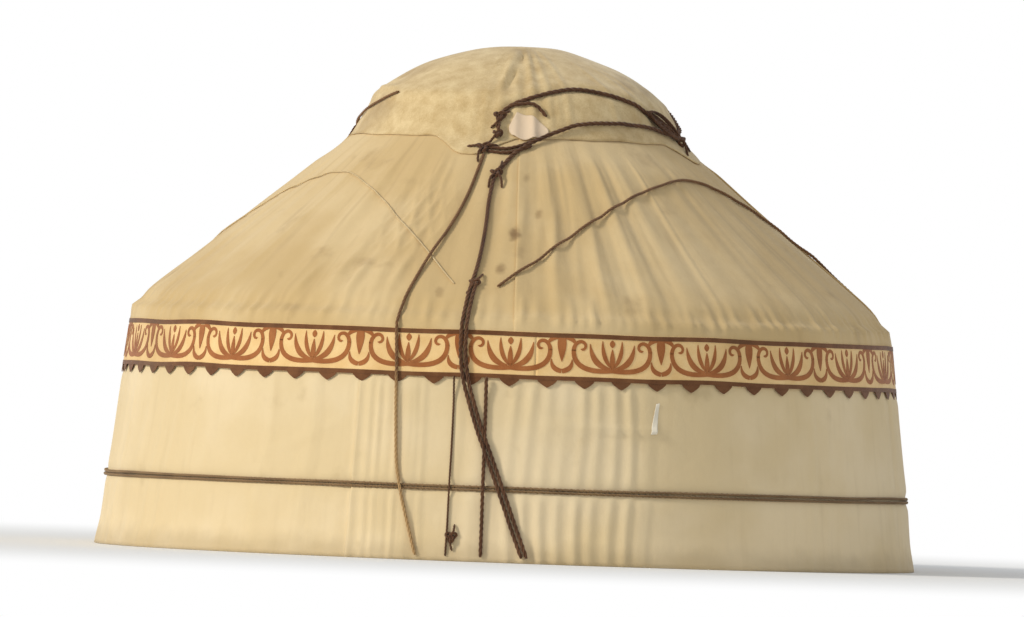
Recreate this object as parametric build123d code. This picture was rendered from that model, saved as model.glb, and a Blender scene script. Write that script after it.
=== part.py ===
from build123d import *
import os
from math import atan, atan2, ceil, cos, degrees, floor, hypot, pi, radians, sin, sqrt

# A felt and canvas tent of the Central Asian steppe: a round lattice wall, curved roof poles that
# spring from it to a wooden crown ring, and covers held by ropes. Millimetres, ground at Z = 0,
# centre of the floor at the origin, the side with the main knots towards -Y, doorway towards +Y.
# Places round the tent are counted in pitches from -Y: poles at whole numbers, facet corners at halves.

# The whole tent
base_diameter = 6000
pole_count = 48
seat_gap = 0.3

# Wall cover: sheets of felt and canvas, leaning in from the ground to the eave
cover_thickness = 12
wall_lean = 0.122
wall_cover_height = 1530
wall_cover_edges = [-23.5, -13.5, -2.5, 11.5, 23.5]

# Lattice wall: flat laths in two layers that cross on seven levels
lath_width = 32
lath_thickness = 12
lattice_height = 1530
lowest_crossing = 50
highest_crossing = 1480
crossing_levels = 7
lattice_section_count = 5
lath_end_spare = 0.45
section_end_spare = 0.4
shortest_lath = 0.2

# Doorway frame, standing in the leaning plane of the wall
door_pitches = 3
frame_half_width = 535
jamb_width = 85
frame_thickness = 60
lintel_height = 110
threshold_height = 90

# Roof covers, outer line at the middle of a facet: (radius, height) above the eave
eave_bend = 1670
skirt_height = 1400
roof_outline = [(2620, 1930), (2250, 2235), (1690, 2690), (1240, 3075)]
roof_cover_edges = [-23.5, -11.5, 0.5, 12.5, 24.5]

# Roof poles
pole_width = 36
pole_depth = 40
pole_tip_depth = 24
tongue_thickness = 18
tongue_lap = 180
door_pole_foot = 75
tip_in_ring = 45

# Crown ring and its bowed cross slats
ring_radius = 1045
ring_width = 90
ring_bottom = 3155
ring_height = 130
mortise_clearance = 0.4
slat_width = 34
slat_thickness = 22
slat_spacing = 170
slats_per_set = 3
slat_set_gap = 6
slat_end_margin = 12

# Crown cover, outer line from its rim to its top: (radius, height)
crown_outline = [(1240, 3089), (1115, 3290), (1050, 3400), (900, 3510), (680, 3630), (400, 3725)]
crown_top = 3780
crown_sides = 24
crown_corner_places = [-2, 10, 22, 34]
crown_corner_reach = 1400
crown_corner_width = 640
crown_corner_tip = 90
crown_corner_overlap = 18

# Eave band, belt and ropes
band_bottom = 1325
band_top = 1665
band_thickness = 4
belt_height = 525
belt_width = 50
belt_thickness = 16
main_rope_sides = 6
light_rope_sides = 4
main_rope_radius = 11
light_rope_radius = 6
crown_rope_radius = 9

# Door flap, rolled up over the doorway
flap_radius = 65
flap_length = 1040
flap_height = 1495
flap_sides = 12
tie_places = [-330, 330]
tie_width = 30
tie_thickness = 4

# Worked out from the sizes above
pitch = 360 / pole_count
door_place = pole_count / 2
wall_radius = base_diameter / 2
wall_angle = atan(wall_lean)
corner_stretch = 1 / cos(radians(pitch / 2))
lattice_depth = cover_thickness + seat_gap + 2 * lath_thickness
flap_turn = 180 / flap_sides


def wall_line(height, outward=0):
    """Radius at mid-facet of the wall's outer face, moved outwards square to the wall."""
    return wall_radius - wall_lean * height + outward / cos(wall_angle)


def inset(line, distances):
    """A line of (radius, height) points that rises inwards, moved in, with mitred corners."""
    moved = []
    for i, (r, z) in enumerate(line):
        before = line[i - 1] if i > 0 else (2 * r - line[1][0], 2 * z - line[1][1])
        after = line[i + 1] if i + 1 < len(line) else (2 * r - line[-2][0], 2 * z - line[-2][1])
        first = Vector(r - before[0], z - before[1]).normalized()
        second = Vector(after[0] - r, after[1] - z).normalized()
        across = Vector(-first.Y - second.Y, first.X + second.X).normalized()
        distance = distances[i] if isinstance(distances, list) else distances
        reach = distance / across.dot(Vector(-first.Y, first.X))
        moved.append((r + across.X * reach, z + across.Y * reach))
    return moved


def line_height(line, radius):
    """Height of a line of (radius, height) points at a radius, its last run carried on."""
    for (r1, z1), (r2, z2) in zip(line, line[1:]):
        if r2 <= radius <= r1:
            break
    return z1 + (z2 - z1) * (r1 - radius) / (r1 - r2)


def line_radius(line, height):
    """Radius of a line of (radius, height) points at a height, its last run carried on."""
    for (r1, z1), (r2, z2) in zip(line, line[1:]):
        if z1 <= height <= z2:
            break
    return r1 + (r2 - r1) * (height - z1) / (z2 - z1)


def place_point(radius, height, place, facet=1):
    """Point of a faceted surface at a place round it, from its radius at mid-facet."""
    azimuth = radians(place * pitch)
    off_middle = radians((place - facet * floor(place / facet + 0.5)) * pitch)
    reach = radius / cos(off_middle)
    return Vector(reach * sin(azimuth), -reach * cos(azimuth), height)


def flat_face(points):
    """Flat face inside a closed run of points."""
    return Face(Wire.make_polygon(points, close=True))


def upright_face(points, place):
    """Face of (radius, height) points in the upright plane at a place round the tent."""
    return flat_face([place_point(r, z, place) for r, z in points])


def upright_slab(points, width, place):
    """Plate of an outline of (radius, height) points, standing across the tent at a place."""
    outline = Polyline([(r, z) for r, z in points], close=True)
    azimuth = radians(place * pitch)
    plane = Plane(origin=(0, 0, 0), x_dir=(sin(azimuth), -cos(azimuth), 0),
                  z_dir=(-cos(azimuth), -sin(azimuth), 0))
    return extrude(plane * make_face(outline), width / 2, both=True)


def rows_of_faces(rows, closed):
    """Flat four-sided faces between neighbouring rows of points."""
    faces = []
    for row, next_row in zip(rows, rows[1:]):
        for i in range(len(row) if closed else len(row) - 1):
            j = (i + 1) % len(row)
            faces.append(flat_face([row[i], row[j], next_row[j], next_row[i]]))
    return faces


def faceted_shell(profile, first, last):
    """A closed profile carried round the tent from one facet corner to another."""
    rows = [[place_point(r, z, first + step) for r, z in profile]
            for step in range(int(last - first) + 1)]
    faces = [flat_face(rows[0]), flat_face(rows[-1])] + rows_of_faces(rows, True)
    return Solid(Shell(faces))


def wedge(first, last, bottom, top):
    """The space between two places round the tent, half a seat gap clear of both."""
    middle = radians((first + last) / 2 * pitch)
    half = radians((last - first) / 2 * pitch)
    tip = seat_gap / 2 / sin(half)
    reach = 2 * wall_radius
    corners = [(tip * sin(middle), -tip * cos(middle))]
    for turn in (-half, 0, half):
        corners.append((corners[0][0] + reach * sin(middle + turn),
                        corners[0][1] - reach * cos(middle + turn)))
    floor_face = make_face(Polyline(corners, close=True))
    return Pos(0, 0, bottom) * extrude(floor_face, top - bottom)


def clear_of_door(shape):
    """Cuts away what stands between the outer sides of the doorway frame."""
    opening = Box(2 * (frame_half_width + seat_gap), 2 * wall_radius, 4 * lattice_height,
                  align=(Align.CENTER, Align.MIN, Align.CENTER))
    return shape - opening


# Outer line of the roof covers, from the skirt's hem to the crown ring
ring_corner = ring_radius * corner_stretch
hem_point = (wall_line(skirt_height, cover_thickness + seat_gap), skirt_height)
eave_point = (wall_line(eave_bend, cover_thickness + seat_gap), eave_bend)
cover_end = (ring_corner + seat_gap, line_height(roof_outline, ring_corner + seat_gap))
roof_line = [hem_point, eave_point] + roof_outline + [cover_end]


def wall_cover(number):
    """One sheet of the wall cover, from the ground to above the lattice heads."""
    first, last = wall_cover_edges[number:number + 2]
    profile = [(wall_line(0), 0), (wall_line(wall_cover_height), wall_cover_height),
               (wall_line(wall_cover_height, -cover_thickness), wall_cover_height),
               (wall_line(0, -cover_thickness), 0)]
    body = faceted_shell(profile, first, last) & wedge(first, last, 0, wall_cover_height)
    return clear_of_door(body)


def roof_cover(number):
    """One quarter of the roof cover, from the hem of its skirt to the crown ring."""
    first, last = roof_cover_edges[number:number + 2]
    under = inset(roof_line, cover_thickness)
    end_radius = roof_line[-1][0]
    profile = roof_line + [(end_radius, line_height(under, end_radius))] + under[-2::-1]
    return faceted_shell(profile, first, last) & wedge(first, last, 0, crown_top)


def eave_band(number):
    """One quarter of the ornamented felt band that hides the skirt's hem."""
    first, last = roof_cover_edges[number:number + 2]
    inner = cover_thickness + 2 * seat_gap
    outer = inner + band_thickness
    profile = [(wall_line(z, outward), z) for z, outward in
               ((band_bottom, outer), (band_top, outer), (band_top, inner), (band_bottom, inner))]
    return faceted_shell(profile, first, last) & wedge(first, last, 0, crown_top)


def belt_rope():
    """The flat belt of rope pulled round the wall cover, tied to both door posts."""
    low, high = belt_height - belt_width / 2, belt_height + belt_width / 2
    outer = seat_gap + belt_thickness
    profile = [(wall_line(z, outward), z) for z, outward in
               ((low, seat_gap), (low, outer), (high, outer), (high, seat_gap))]
    return clear_of_door(faceted_shell(profile, wall_cover_edges[0], wall_cover_edges[-1]))


def lath(head, lean):
    """One lath, folded at the facet corners; it leans one way outside and the other way inside."""
    pitches = (crossing_levels - 1) / 2
    climb = (highest_crossing - lowest_crossing) / pitches
    half_cut = lath_width / 2 / cos(atan2(climb, wall_radius * radians(pitch)))
    outer = -cover_thickness - seat_gap - (0 if lean > 0 else lath_thickness)
    inner = outer - lath_thickness
    sections = []
    stations = [-lath_end_spare] + [corner + 0.5 for corner in range(int(pitches))]
    stations.append(pitches + lath_end_spare)
    for below in stations:
        height = highest_crossing - below * climb
        profile = [(wall_line(height + rise, outward), height + rise) for rise, outward in
                   ((-half_cut, outer), (half_cut, outer), (half_cut, inner), (-half_cut, inner))]
        sections.append(upright_face(profile, head - lean * below))
    return loft(sections, ruled=True)


def lattice_section(number):
    """One folding section of the lattice wall, its laths joined wherever they cross."""
    per_section = (pole_count - door_pitches) / lattice_section_count
    first = -door_place + door_pitches / 2 + number * per_section
    last = first + per_section
    reach = (crossing_levels - 1) / 2
    begin = first - (section_end_spare if number == 0 else 0)
    end = last + (section_end_spare if number == lattice_section_count - 1 else 0)
    laths = []
    for lean in (1, -1):
        for head in range(floor(first - reach) - 1, ceil(last + reach) + 2):
            foot = head - lean * reach
            if max(head, foot) > begin - shortest_lath and min(head, foot) < end + shortest_lath:
                laths.append(lath(head, lean))
    body = laths[0].fuse(*laths[1:])
    body = body & wedge(begin, end, seat_gap, lattice_height)
    return clear_of_door(body) if number in (0, lattice_section_count - 1) else body


# The frame's plane is set back so that its outer corners stay under the curved skirt
frame_facet = radians(pitch)
frame_set_back = (wall_line(skirt_height) - (wall_line(skirt_height)
                  - frame_half_width * sin(frame_facet)) / cos(frame_facet) + seat_gap)


def frame_board(x_from, x_to, up_from, up_to):
    """One board of the doorway frame, placed in the leaning plane and cut level at the ground."""
    plane = Plane(origin=(0, wall_line(0) - frame_set_back, 0), x_dir=(-1, 0, 0),
                  z_dir=(0, cos(wall_angle), sin(wall_angle)))
    board = Pos((x_from + x_to) / 2, (up_from + up_to) / 2, -frame_thickness / 2) * Box(
        x_to - x_from, up_to - up_from, frame_thickness)
    ground = Box(2 * base_diameter, 2 * base_diameter, base_diameter,
                 align=(Align.CENTER, Align.CENTER, Align.MAX))
    return plane * board - ground


frame_top = lattice_height / cos(wall_angle)
lintel_foot = frame_top - lintel_height
frame_start = -frame_thickness


def pole_lines(foot_depth):
    """Outer and inner lines of a roof pole, from its foot on the lattice to its tip in the ring."""
    under_cover = inset(roof_line, cover_thickness + seat_gap)
    foot = lattice_height + seat_gap
    tip_radius = ring_radius - tip_in_ring
    outer = [(line_radius(under_cover, foot), foot)] + under_cover[1:-1]
    outer.append((tip_radius, line_height(under_cover, tip_radius)))
    depths = [foot_depth]
    for i in range(1, len(outer)):
        share = (i - 1) / (len(outer) - 2)
        depths.append(pole_depth + (pole_tip_depth - pole_depth) * share)
    inner = inset(outer, depths)
    inner[-1] = (tip_radius, line_height(inner, tip_radius))
    return outer, inner


def roof_pole(place):
    """A bent pole; its tongue lies inside the lattice heads, or it stands on the lintel."""
    over_door = abs(abs(place) - door_place) < door_pitches / 2
    tongue_inside = lattice_depth + seat_gap + tongue_thickness
    outer, inner = pole_lines(door_pole_foot if over_door else tongue_inside)
    foot = outer[0][1]
    if over_door:
        outline = outer + list(reversed(inner[1:]))
        outline.append((outer[0][0] - door_pole_foot / cos(wall_angle), foot))
    else:
        low = lattice_height - tongue_lap
        tongue_outside = lattice_depth + seat_gap
        outline = outer + list(reversed(inner[1:]))
        outline += [(wall_line(low, -tongue_inside), low), (wall_line(low, -tongue_outside), low),
                    (wall_line(foot, -tongue_outside), foot)]
    return upright_slab(outline, pole_width, place)


def crown_ring():
    """The bent rim of the crown, with a slanted mortise for the tip of every pole."""
    outer = RegularPolygon(ring_radius, pole_count, major_radius=False, rotation=pitch / 2)
    inner = RegularPolygon(ring_radius - ring_width, pole_count, major_radius=False,
                           rotation=pitch / 2)
    ring = Pos(0, 0, ring_bottom) * extrude(outer - inner, ring_height)
    top, bottom = pole_lines(door_pole_foot)
    top, bottom = inset(top[-2:], -mortise_clearance), inset(bottom[-2:], mortise_clearance)
    deep = ring_radius - tip_in_ring - mortise_clearance
    wide = ring_radius + ring_width
    hole = [(wide, line_height(top, wide)), (deep, line_height(top, deep)),
            (deep, line_height(bottom, deep)), (wide, line_height(bottom, wide))]
    holes = [upright_slab(hole, pole_width + 2 * mortise_clearance, place)
             for place in range(pole_count)]
    return ring - holes


def slat(line, offset):
    """One bowed slat under the crown cover, standing on the ring at both ends."""
    ring_top = ring_bottom + ring_height
    edge = offset + slat_width / 2
    end = sqrt((ring_radius - slat_end_margin) ** 2 - edge ** 2)
    foot = end - slat_thickness
    under = inset(line, slat_thickness)
    upper, lower = [(end, ring_top)], [(foot, ring_top)]
    for row, side, limit in ((upper, line, end), (lower, under, foot)):
        row.append((limit, line_height(side, hypot(limit, edge))))
        for r, z in side:
            if r > edge and sqrt(r ** 2 - edge ** 2) < limit:
                row.append((sqrt(r ** 2 - edge ** 2), z))
        row.append((0, line_height(side, edge)))
    half = upper + list(reversed(lower))
    mirrored = [(-x, z) for x, z in half]
    outline = make_face(Polyline(half, close=True)) + make_face(Polyline(mirrored, close=True))
    return extrude(Plane.XZ * outline, slat_width / 2, both=True)


def crown_slats(drop):
    """A set of parallel bowed slats, lowered under the crown cover by a drop."""
    line = inset(crown_outline + [(0, crown_top)], cover_thickness + seat_gap + drop)
    slats = []
    for i in range(slats_per_set):
        offset = (i - (slats_per_set - 1) / 2) * slat_spacing
        slats.append(Pos(0, offset, 0) * slat(line, abs(offset)))
    return slats


def crown_dome(line, top):
    """A faceted dome through a line of (radius, height) points."""
    rows = []
    for r, z in line:
        corner = r / cos(pi / crown_sides)
        turns = [2 * pi * (i + 0.5) / crown_sides for i in range(crown_sides)]
        rows.append([Vector(corner * cos(turn), corner * sin(turn), z) for turn in turns])
    faces = [flat_face(rows[0])] + rows_of_faces(rows, True)
    for i in range(crown_sides):
        faces.append(flat_face([rows[-1][i - 1], rows[-1][i], Vector(0, 0, top)]))
    return Solid(Shell(faces))


def crown_cover():
    """The felt cap that is drawn over the crown ring by its ropes."""
    outer = crown_outline + [(0, crown_top)]
    inner = inset(outer, cover_thickness)
    rim_r, rim_z = inner[0]
    next_r, next_z = inner[1]
    spare = cover_thickness
    low = (rim_r + (rim_r - next_r) / (next_z - rim_z) * spare, rim_z - spare)
    dome = crown_dome(crown_outline, crown_top) - crown_dome([low] + inner[1:-1], inner[-1][1])
    return dome.fuse(*[crown_corner(place) for place in crown_corner_places])


def crown_corner(place):
    """One corner of the crown felt, lying on the roof cover below the dome's rim."""
    root = crown_outline[0][0] - crown_corner_overlap
    ends = [(r, line_height(roof_line, r)) for r in (crown_corner_reach, roof_outline[-1][0], root)]
    bed = inset(ends, -seat_gap)
    skin = inset(ends, -seat_gap - cover_thickness)
    width = ceil(crown_corner_width / root / radians(pitch) / 2) + 0.5
    body = faceted_shell(bed + skin[::-1], place - width, place + width)
    plan = [(root - cover_thickness, crown_corner_width / 2),
            (crown_corner_reach, crown_corner_tip / 2)]
    plan += [(x, -y) for x, y in reversed(plan)]
    cutter = extrude(make_face(Polyline(plan, close=True)), crown_top)
    return body & Rot(0, 0, place * pitch - 90) * cutter


# Line that the ropes lie on: straight down from the band's face, then over the roof
rope_out = cover_thickness + 3 * seat_gap + band_thickness
rope_bed = [(wall_line(0, rope_out), 0), (wall_line(eave_bend, rope_out), eave_bend)]
rope_bed += inset(roof_line, -seat_gap)[2:]


def rope(route, radius, sides, lift=0, line=rope_bed, facet=1):
    """A taut rope laid over the covers through (place, height) points, kinked at each fold."""
    bed = inset(line, -radius - lift)
    stops = [route[0]]
    for (place, height), (to_place, to_height) in zip(route, route[1:]):
        shares = {1.0}
        for i in range(-pole_count, 2 * pole_count):
            corner = (i + 0.5) * facet
            if min(place, to_place) < corner < max(place, to_place):
                shares.add((corner - place) / (to_place - place))
        for r, z in bed[1:-1]:
            if min(height, to_height) < z < max(height, to_height):
                shares.add((z - height) / (to_height - height))
        for share in sorted(shares):
            stops.append((place + (to_place - place) * share,
                          height + (to_height - height) * share))
    points = [place_point(line_radius(bed, z), z, place, facet) for place, z in stops]
    kept = points[:1]
    for point in points[1:]:
        if (point - kept[-1]).length > 2 * radius:
            kept.append(point)
    rows = []
    for i, point in enumerate(kept):
        before = (point - kept[i - 1]).normalized() if i > 0 else Vector(0, 0, 0)
        after = (kept[i + 1] - point).normalized() if i + 1 < len(kept) else Vector(0, 0, 0)
        plane = Plane(origin=point, x_dir=(point.X, point.Y, 0), z_dir=before + after)
        turns = [2 * pi * side / sides for side in range(sides)]
        rows.append([plane.from_local_coords((radius * cos(turn), radius * sin(turn)))
                     for turn in turns])
    faces = [flat_face(rows[0]), flat_face(rows[-1])]
    for row, next_row in zip(rows, rows[1:]):
        for i in range(sides):
            faces.append(flat_face([row[i - 1], row[i], next_row[i]]))
            faces.append(flat_face([row[i - 1], next_row[i], next_row[i - 1]]))
    return Solid(Shell(faces))


def over_door(outline, length):
    """A length of an outline along X, at the axis of the rolled door curtain."""
    out = rope_out + flap_radius * cos(pi / flap_sides)
    roll = Rot(degrees(wall_angle), 0, 0) * Rot(0, 90, 0) * extrude(outline, length / 2, both=True)
    return Pos(0, wall_line(flap_height, out), flap_height) * roll


def door_flap():
    """The felt door curtain, rolled up over the doorway."""
    return over_door(RegularPolygon(flap_radius, flap_sides, rotation=flap_turn), flap_length)


def door_ties():
    """Two woven ties that go round the rolled curtain and hold it up against the band."""
    loop = RegularPolygon(flap_radius + seat_gap + tie_thickness, flap_sides, rotation=flap_turn)
    loop -= RegularPolygon(flap_radius + seat_gap, flap_sides, rotation=flap_turn)
    return [Pos(x, 0, 0) * over_door(loop, tie_width) for x in tie_places]


# Ropes: (place, height) from top to bottom
left_main_route = [(-1.36, 2920), (-1.47, 2740), (-1.71, 2450), (-2.09, 2100), (-2.28, 1780),
                   (-2.2, 1400), (-2.12, 930), (-2.03, 550), (-1.6, 50)]
centre_main_route = [(-0.78, 2760), (-0.85, 2640), (-0.78, 2430), (-0.8, 2130), (-0.93, 1900),
                     (-0.99, 1410), (-0.6, 960), (-0.39, 770), (-0.11, 490), (0.33, 50)]
short_wall_route = [(-0.44, 1300), (-0.42, 860), (-0.41, 50)]
left_wall_route = [(-1.06, 1300), (-1.05, 50)]
right_roof_route = [(-0.33, 1970), (1.13, 2310), (2.65, 2540), (4.5, 2720), (7.5, 2850),
                    (10.5, 2600), (12.8, 2150), (13.5, 1500), (13.5, 50)]
left_roof_route = [(-1.27, 1990), (-2.0, 2200), (-2.88, 2370), (-4.5, 2640), (-7.5, 2850),
                   (-10.5, 2600), (-12.8, 2150), (-13.5, 1500), (-13.5, 50)]
crown_upper_route = [(-0.9, 3240), (-0.5, 3312), (0.54, 3370), (2.2, 3430), (3.6, 3450),
                     (6.75, 3370), (7.9, 3270), (9.3, 3165), (10.7, 3165), (12.5, 3300),
                     (15, 3420), (18, 3420), (20.5, 3300), (22, 3165), (23.5, 3300), (26, 3420),
                     (30, 3420), (32.5, 3300), (34, 3165)]
crown_lower_route = [(-0.62, 2835), (-0.3, 2930), (0.22, 3000), (1.17, 3080), (2.6, 3180),
                     (4, 3210), (7, 3200), (9.3, 3118), (10.7, 3118)]

parts = {}
for name, number in (("back_left", 0), ("left", 1), ("front", 2), ("right", 3)):
    parts["wall_cover_" + name] = wall_cover(number)
for name, number in (("back_left", 0), ("front_left", 1), ("front_right", 2), ("back_right", 3)):
    parts["roof_cover_" + name] = roof_cover(number)
    parts["eave_band_" + name] = eave_band(number)
    first, last = roof_cover_edges[number:number + 2]
    places = [place for place in range(-pole_count, pole_count) if first < place < last]
    parts["roof_poles_" + name] = [roof_pole(place) for place in places]
for number in range(lattice_section_count):
    parts["lattice_" + str(number + 1)] = lattice_section(number)

clear_half = frame_half_width - jamb_width
parts["door_threshold"] = frame_board(-clear_half, clear_half, frame_start, threshold_height)
parts["door_jamb_left"] = frame_board(clear_half, frame_half_width, frame_start, lintel_foot)
parts["door_jamb_right"] = frame_board(-frame_half_width, -clear_half, frame_start, lintel_foot)
parts["door_lintel"] = frame_board(-frame_half_width, frame_half_width, lintel_foot, frame_top)
parts["door_flap"] = door_flap()
parts["door_ties"] = door_ties()

parts["crown_ring"] = crown_ring()
parts["crown_slats_upper"] = crown_slats(0)
lower_set = crown_slats(slat_thickness + slat_set_gap)
parts["crown_slats_lower"] = [Rot(0, 0, 90) * one for one in lower_set]
parts["crown_cover"] = crown_cover()

parts["belt_rope"] = belt_rope()
over_light_rope = 2 * light_rope_radius + seat_gap
parts["rope_left_main"] = rope(left_main_route, main_rope_radius, main_rope_sides,
                               over_light_rope - 5 * seat_gap)
parts["rope_centre_main"] = rope(centre_main_route, main_rope_radius, main_rope_sides,
                                 over_light_rope + seat_gap)
for name, route in (("short_wall", short_wall_route), ("left_wall", left_wall_route),
                    ("right_roof", right_roof_route), ("left_roof", left_roof_route)):
    parts["rope_" + name] = rope(route, light_rope_radius, light_rope_sides)
crown_bed = inset(crown_outline + [(0, crown_top)], -seat_gap)[:-1]
low_start = inset(roof_line, -cover_thickness)[len(roof_line) - 3]
crown_low_bed = inset([low_start] + crown_outline + [(0, crown_top)], -seat_gap)[:-1]
parts["crown_rope_upper"] = rope(crown_upper_route, crown_rope_radius, light_rope_sides, 0,
                                 crown_bed, 2)
parts["crown_rope_lower"] = rope(crown_lower_route, crown_rope_radius, light_rope_sides,
                                 -3 * seat_gap, crown_low_bed, 2)

os.makedirs("parts", exist_ok=True)
for name, shape in parts.items():
    solids = shape if isinstance(shape, list) else [shape]
    export_step(Compound(children=[solid for one in solids for solid in one.solids()]),
                "parts/" + name + ".step")
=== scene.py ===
import bpy
import math
import numpy as np
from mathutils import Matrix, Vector


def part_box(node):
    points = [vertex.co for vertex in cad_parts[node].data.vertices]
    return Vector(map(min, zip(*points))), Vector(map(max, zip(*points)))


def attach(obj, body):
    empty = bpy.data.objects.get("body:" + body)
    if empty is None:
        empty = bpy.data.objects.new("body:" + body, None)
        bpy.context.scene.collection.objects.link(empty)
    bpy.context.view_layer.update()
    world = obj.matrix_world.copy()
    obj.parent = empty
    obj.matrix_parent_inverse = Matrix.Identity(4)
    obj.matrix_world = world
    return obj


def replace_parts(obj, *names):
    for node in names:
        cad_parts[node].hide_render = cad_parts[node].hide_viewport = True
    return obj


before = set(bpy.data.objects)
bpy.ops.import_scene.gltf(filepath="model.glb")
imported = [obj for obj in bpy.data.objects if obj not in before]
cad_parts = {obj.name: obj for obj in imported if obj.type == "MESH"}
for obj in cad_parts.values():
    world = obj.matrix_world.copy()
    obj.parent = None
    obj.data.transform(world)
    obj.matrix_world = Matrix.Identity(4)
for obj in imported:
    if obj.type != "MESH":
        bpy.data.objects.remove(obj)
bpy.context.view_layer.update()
bpy.ops.object.select_all(action="DESELECT")


# Doorway frame: a threshold, two jambs and a lintel of sawn poplar, pegged together and painted
# the dark red that such frames have. It leans with the wall, and the lattice ends are lashed to it.

def paint(red, green, blue):
    """Linear colour of a paint given as it looks, 0 to 255."""
    shades = [c / 255 for c in (red, green, blue)]
    return [c / 12.92 if c <= 0.04045 else ((c + 0.055) / 1.055) ** 2.4 for c in shades] + [1.0]


def new_material(name):
    """A new material, its node tree and the coordinates that its patterns read."""
    material = bpy.data.materials.new(name)
    material.use_nodes = True
    tree = material.node_tree
    return material, tree, tree.nodes.new("ShaderNodeTexCoord").outputs


def add_node(tree, kind, inputs, **settings):
    """A shader node with its settings, and each of its inputs set or linked."""
    node = tree.nodes.new("ShaderNode" + kind)
    for setting, value in settings.items():
        setattr(node, setting, value)
    for socket, value in inputs.items():
        if isinstance(value, bpy.types.NodeSocket):
            tree.links.new(value, node.inputs[socket])
        else:
            node.inputs[socket].default_value = value
    return node


def clouds(tree, vector, scale, detail, distortion=0.0):
    """A cloudy pattern between 0 and 1."""
    return add_node(tree, "TexNoise", {"Vector": vector, "Scale": scale, "Detail": detail,
                                       "Distortion": distortion}).outputs["Fac"]


def rising(tree, value, low, high, most=1.0, way="LINEAR"):
    """Goes from 0 to most while a value goes from low to high."""
    return add_node(tree, "MapRange", {"Value": value, "From Min": low, "From Max": high,
                                       "To Max": most}, interpolation_type=way).outputs["Result"]


def mixed(tree, amount, first, second, kind="RGBA"):
    """Two colours mixed, or two numbers where the kind is FLOAT."""
    return add_node(tree, "Mix", {"Factor": amount, "A": first, "B": second},
                    data_type=kind).outputs["Result"]


def two_tones(tree, value, low, high, deep, pale):
    """A colour that goes from deep to pale while a value goes from low to high."""
    tones = add_node(tree, "ValToRGB", {"Fac": value})
    for element, position, colour in zip(tones.color_ramp.elements, (low, high), (deep, pale)):
        element.position = position
        element.color = colour
    return tones.outputs["Color"]


def raised(tree, height, strength, distance, **under):
    """Fine relief from a pattern, over other relief where it is given as Normal."""
    return add_node(tree, "Bump", {"Height": height, "Strength": strength, "Distance": distance,
                                   **under}).outputs["Normal"]


def set_surface(tree, colour, normal, roughness, specular, sheen=0.0, sheen_roughness=0.5):
    """Gives the surface shader its colour, its relief and its gloss."""
    surface = tree.nodes["Principled BSDF"].inputs
    tree.links.new(colour, surface["Base Color"])
    tree.links.new(normal, surface["Normal"])
    surface["Roughness"].default_value = roughness
    surface["Specular IOR Level"].default_value = specular
    surface["Sheen Weight"].default_value = sheen
    surface["Sheen Roughness"].default_value = sheen_roughness


def stained_wood(name, pale, deep, worn, along):
    """Painted or stained timber with its grain drawn out along an axis, and paler worn patches."""
    wood, tree, place = new_material(name)
    drawn = add_node(tree, "Mapping", {"Vector": place["Object"], "Scale": along}).outputs["Vector"]
    grain = clouds(tree, drawn, 6.0, 7.0, 0.6)
    rubbed = rising(tree, clouds(tree, place["Object"], 5.0, 4.0), 0.62, 0.74)
    tone = mixed(tree, rubbed, two_tones(tree, grain, 0.35, 0.68, deep, pale), worn)
    set_surface(tree, tone, raised(tree, grain, 0.35, 0.002), 0.55, 0.35)
    return wood


def finish_nodes(material, names):
    """Gives CAD nodes a finish in place of the plain one."""
    for name in names:
        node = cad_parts[name]
        node.data.materials.clear()
        node.data.materials.append(material)


door_paint = stained_wood("door_paint", paint(132, 58, 34), paint(92, 36, 22),
                          paint(168, 112, 72), (9, 9, 1.2))
finish_nodes(door_paint, ["door_threshold", "door_jamb_left", "door_jamb_right", "door_lintel"])


# Lattice wall: split willow laths in two layers, stained with red ochre and riveted with rawhide
# where they cross, so that each of the five sections folds. The laths are the CAD nodes.

lath_stain = stained_wood("lath_stain", paint(166, 96, 54), paint(118, 62, 34),
                          paint(190, 140, 92), (7, 7, 2.5))
finish_nodes(lath_stain, ["lattice_%d" % number for number in range(1, 6)])


# Roof poles, crown ring and bowed slats: steamed willow and birch, stained a deeper red. The pole
# tips sit in mortises of the ring, and the slats carry the crown felt.

pole_stain = stained_wood("pole_stain", paint(150, 70, 42), paint(104, 42, 26),
                          paint(178, 120, 80), (6, 6, 3))
finish_nodes(pole_stain, ["roof_poles_back_left", "roof_poles_front_left", "roof_poles_front_right",
                          "roof_poles_back_right", "crown_ring", "crown_slats_upper",
                          "crown_slats_lower"])


# Wall covers: sheets of white cotton canvas over pressed felt, hung round the lattice and lapped
# at their upright edges. They hang in soft upright folds, gathered where the ropes pull on them.

pole_count = 48
pitch = 2 * math.pi / pole_count
facet_corner = 1 / math.cos(pitch / 2)
wall_foot_radius = 3.0 * facet_corner
wall_lean = 0.122
cover_thickness = 0.012
wall_grid = (0.017, 0.034)
wall_middle = 0.8
wall_cover_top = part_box("wall_cover_front")[1][2]
band_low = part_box("eave_band_front_left")[0][2]
belt_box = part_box("belt_rope")
belt_middle = (belt_box[0][2] + belt_box[1][2]) / 2

# Pleats beside the main ropes: distances along the wall from the middle of the front, their
# width and their depths
left_pleats = ([-1.10, -1.00, -0.93, -0.86, -0.79, -0.70, -0.60], 0.024,
               [0.013, 0.010, 0.014, 0.010, 0.015, 0.009, 0.008])
right_pleats = ([0.03, 0.15, 0.27, 0.39, 0.52, 0.63, 0.76, 0.88, 1.02], 0.034,
                [0.018, 0.027, 0.024, 0.018, 0.024, 0.018, 0.022, 0.026, 0.012])
shallow_count = 90
crease_height = 0.985
hem_height = 0.22


def wall_radius(height):
    """Radius of the wall canvas's outer face, with no folds."""
    return wall_foot_radius - wall_lean * height


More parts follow.
